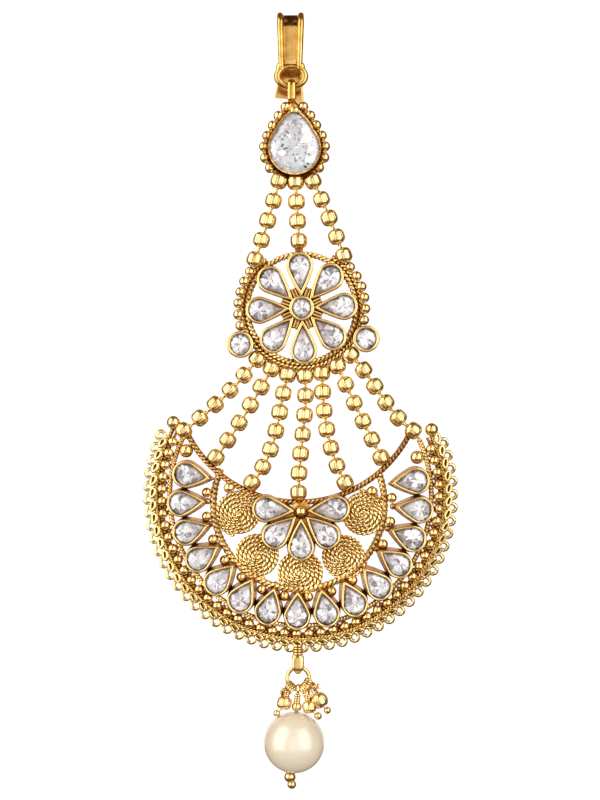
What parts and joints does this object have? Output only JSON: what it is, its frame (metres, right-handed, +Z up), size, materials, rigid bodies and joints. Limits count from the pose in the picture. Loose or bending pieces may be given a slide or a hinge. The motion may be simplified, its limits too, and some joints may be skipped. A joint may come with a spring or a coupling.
{
  "type": "jhoomar head ornament",
  "caption": "Hanging head ornament: folded hook, pear setting, ball chains to a round flower medallion, fanning chains to a stone-set crescent, and a pearl drop on a jump ring.",
  "frame": {"origin": "inside of the hook's crown, where the hair, cord or headband that carries it lies", "axes": "+Z up along the hanging ornament, front faces -Y, +X to the right in the front view"},
  "size_m": [0.0523, 0.0098, 0.1294],
  "materials": {
    "hook_gold": "polished gold plate, worn darker in the creases",
    "antique_gold": "antique gold plate with dark tarnish in the recesses",
    "bead_gold": "bright gold plate on fluted beads",
    "cut_stone": "foil-backed cut stone, whitish grey with a lilac cast",
    "clear_stone": "clear brilliant-cut pear stone",
    "pearl": "cream imitation pearl with a soft lustre"
  },
  "bodies": {
    "hook": {"hook": "hook_gold"},
    "pendant": {"pear_setting": "antique_gold", "top_stone": "clear_stone", "chain_upper_left": "bead_gold", "chain_upper_middle": "bead_gold", "chain_upper_right": "bead_gold", "medallion_frame": "antique_gold", "petal_stone_1": "cut_stone", "petal_stone_2": "cut_stone", "petal_stone_3": "cut_stone", "petal_stone_4": "cut_stone", "petal_stone_5": "cut_stone", "petal_stone_6": "cut_stone", "petal_stone_7": "cut_stone", "petal_stone_8": "cut_stone", "centre_stone": "cut_stone", "side_stone_left": "cut_stone", "side_stone_right": "cut_stone", "chain_lower_1": "bead_gold", "chain_lower_2": "bead_gold", "chain_lower_3": "bead_gold", "chain_lower_4": "bead_gold", "chain_lower_5": "bead_gold", "chain_lower_6": "bead_gold", "chain_lower_7": "bead_gold", "crescent_frame": "antique_gold", "crescent_stone_01": "cut_stone", "crescent_stone_02": "cut_stone", "crescent_stone_03": "cut_stone", "crescent_stone_04": "cut_stone", "crescent_stone_05": "cut_stone", "crescent_stone_06": "cut_stone", "crescent_stone_07": "cut_stone", "crescent_stone_08": "cut_stone", "crescent_stone_09": "cut_stone", "crescent_stone_10": "cut_stone", "crescent_stone_11": "cut_stone", "crescent_stone_12": "cut_stone", "crescent_stone_13": "cut_stone", "crescent_stone_14": "cut_stone", "crescent_stone_15": "cut_stone", "fan_stone_1": "cut_stone", "fan_stone_2": "cut_stone", "fan_stone_3": "cut_stone", "fan_stone_4": "cut_stone", "fan_stone_5": "cut_stone"},
    "drop_ring": {"jump_ring": "hook_gold", "cluster_left": "bead_gold", "cluster_right": "bead_gold"},
    "drop": {"drop_pin": "bead_gold", "pearl": "pearl"}
  },
  "joints": [
    {"name": "hook_swing", "type": "hinge", "parent": "hook", "child": "pendant", "pos_m": [0, -0.00185, -0.01147], "axis": [1, 0, 0], "range_deg": [-90, 30]},
    {"name": "ring_swing", "type": "hinge", "parent": "pendant", "child": "drop_ring", "pos_m": [0.00123, -0.0017, -0.109], "axis": [0, 1, 0], "range_deg": [-50, 50]},
    {"name": "drop_swing", "type": "hinge", "parent": "drop_ring", "child": "drop", "pos_m": [0.00123, -0.0017, -0.11189], "axis": [1, 0, 0], "range_deg": [-60, 60]}
  ]
}
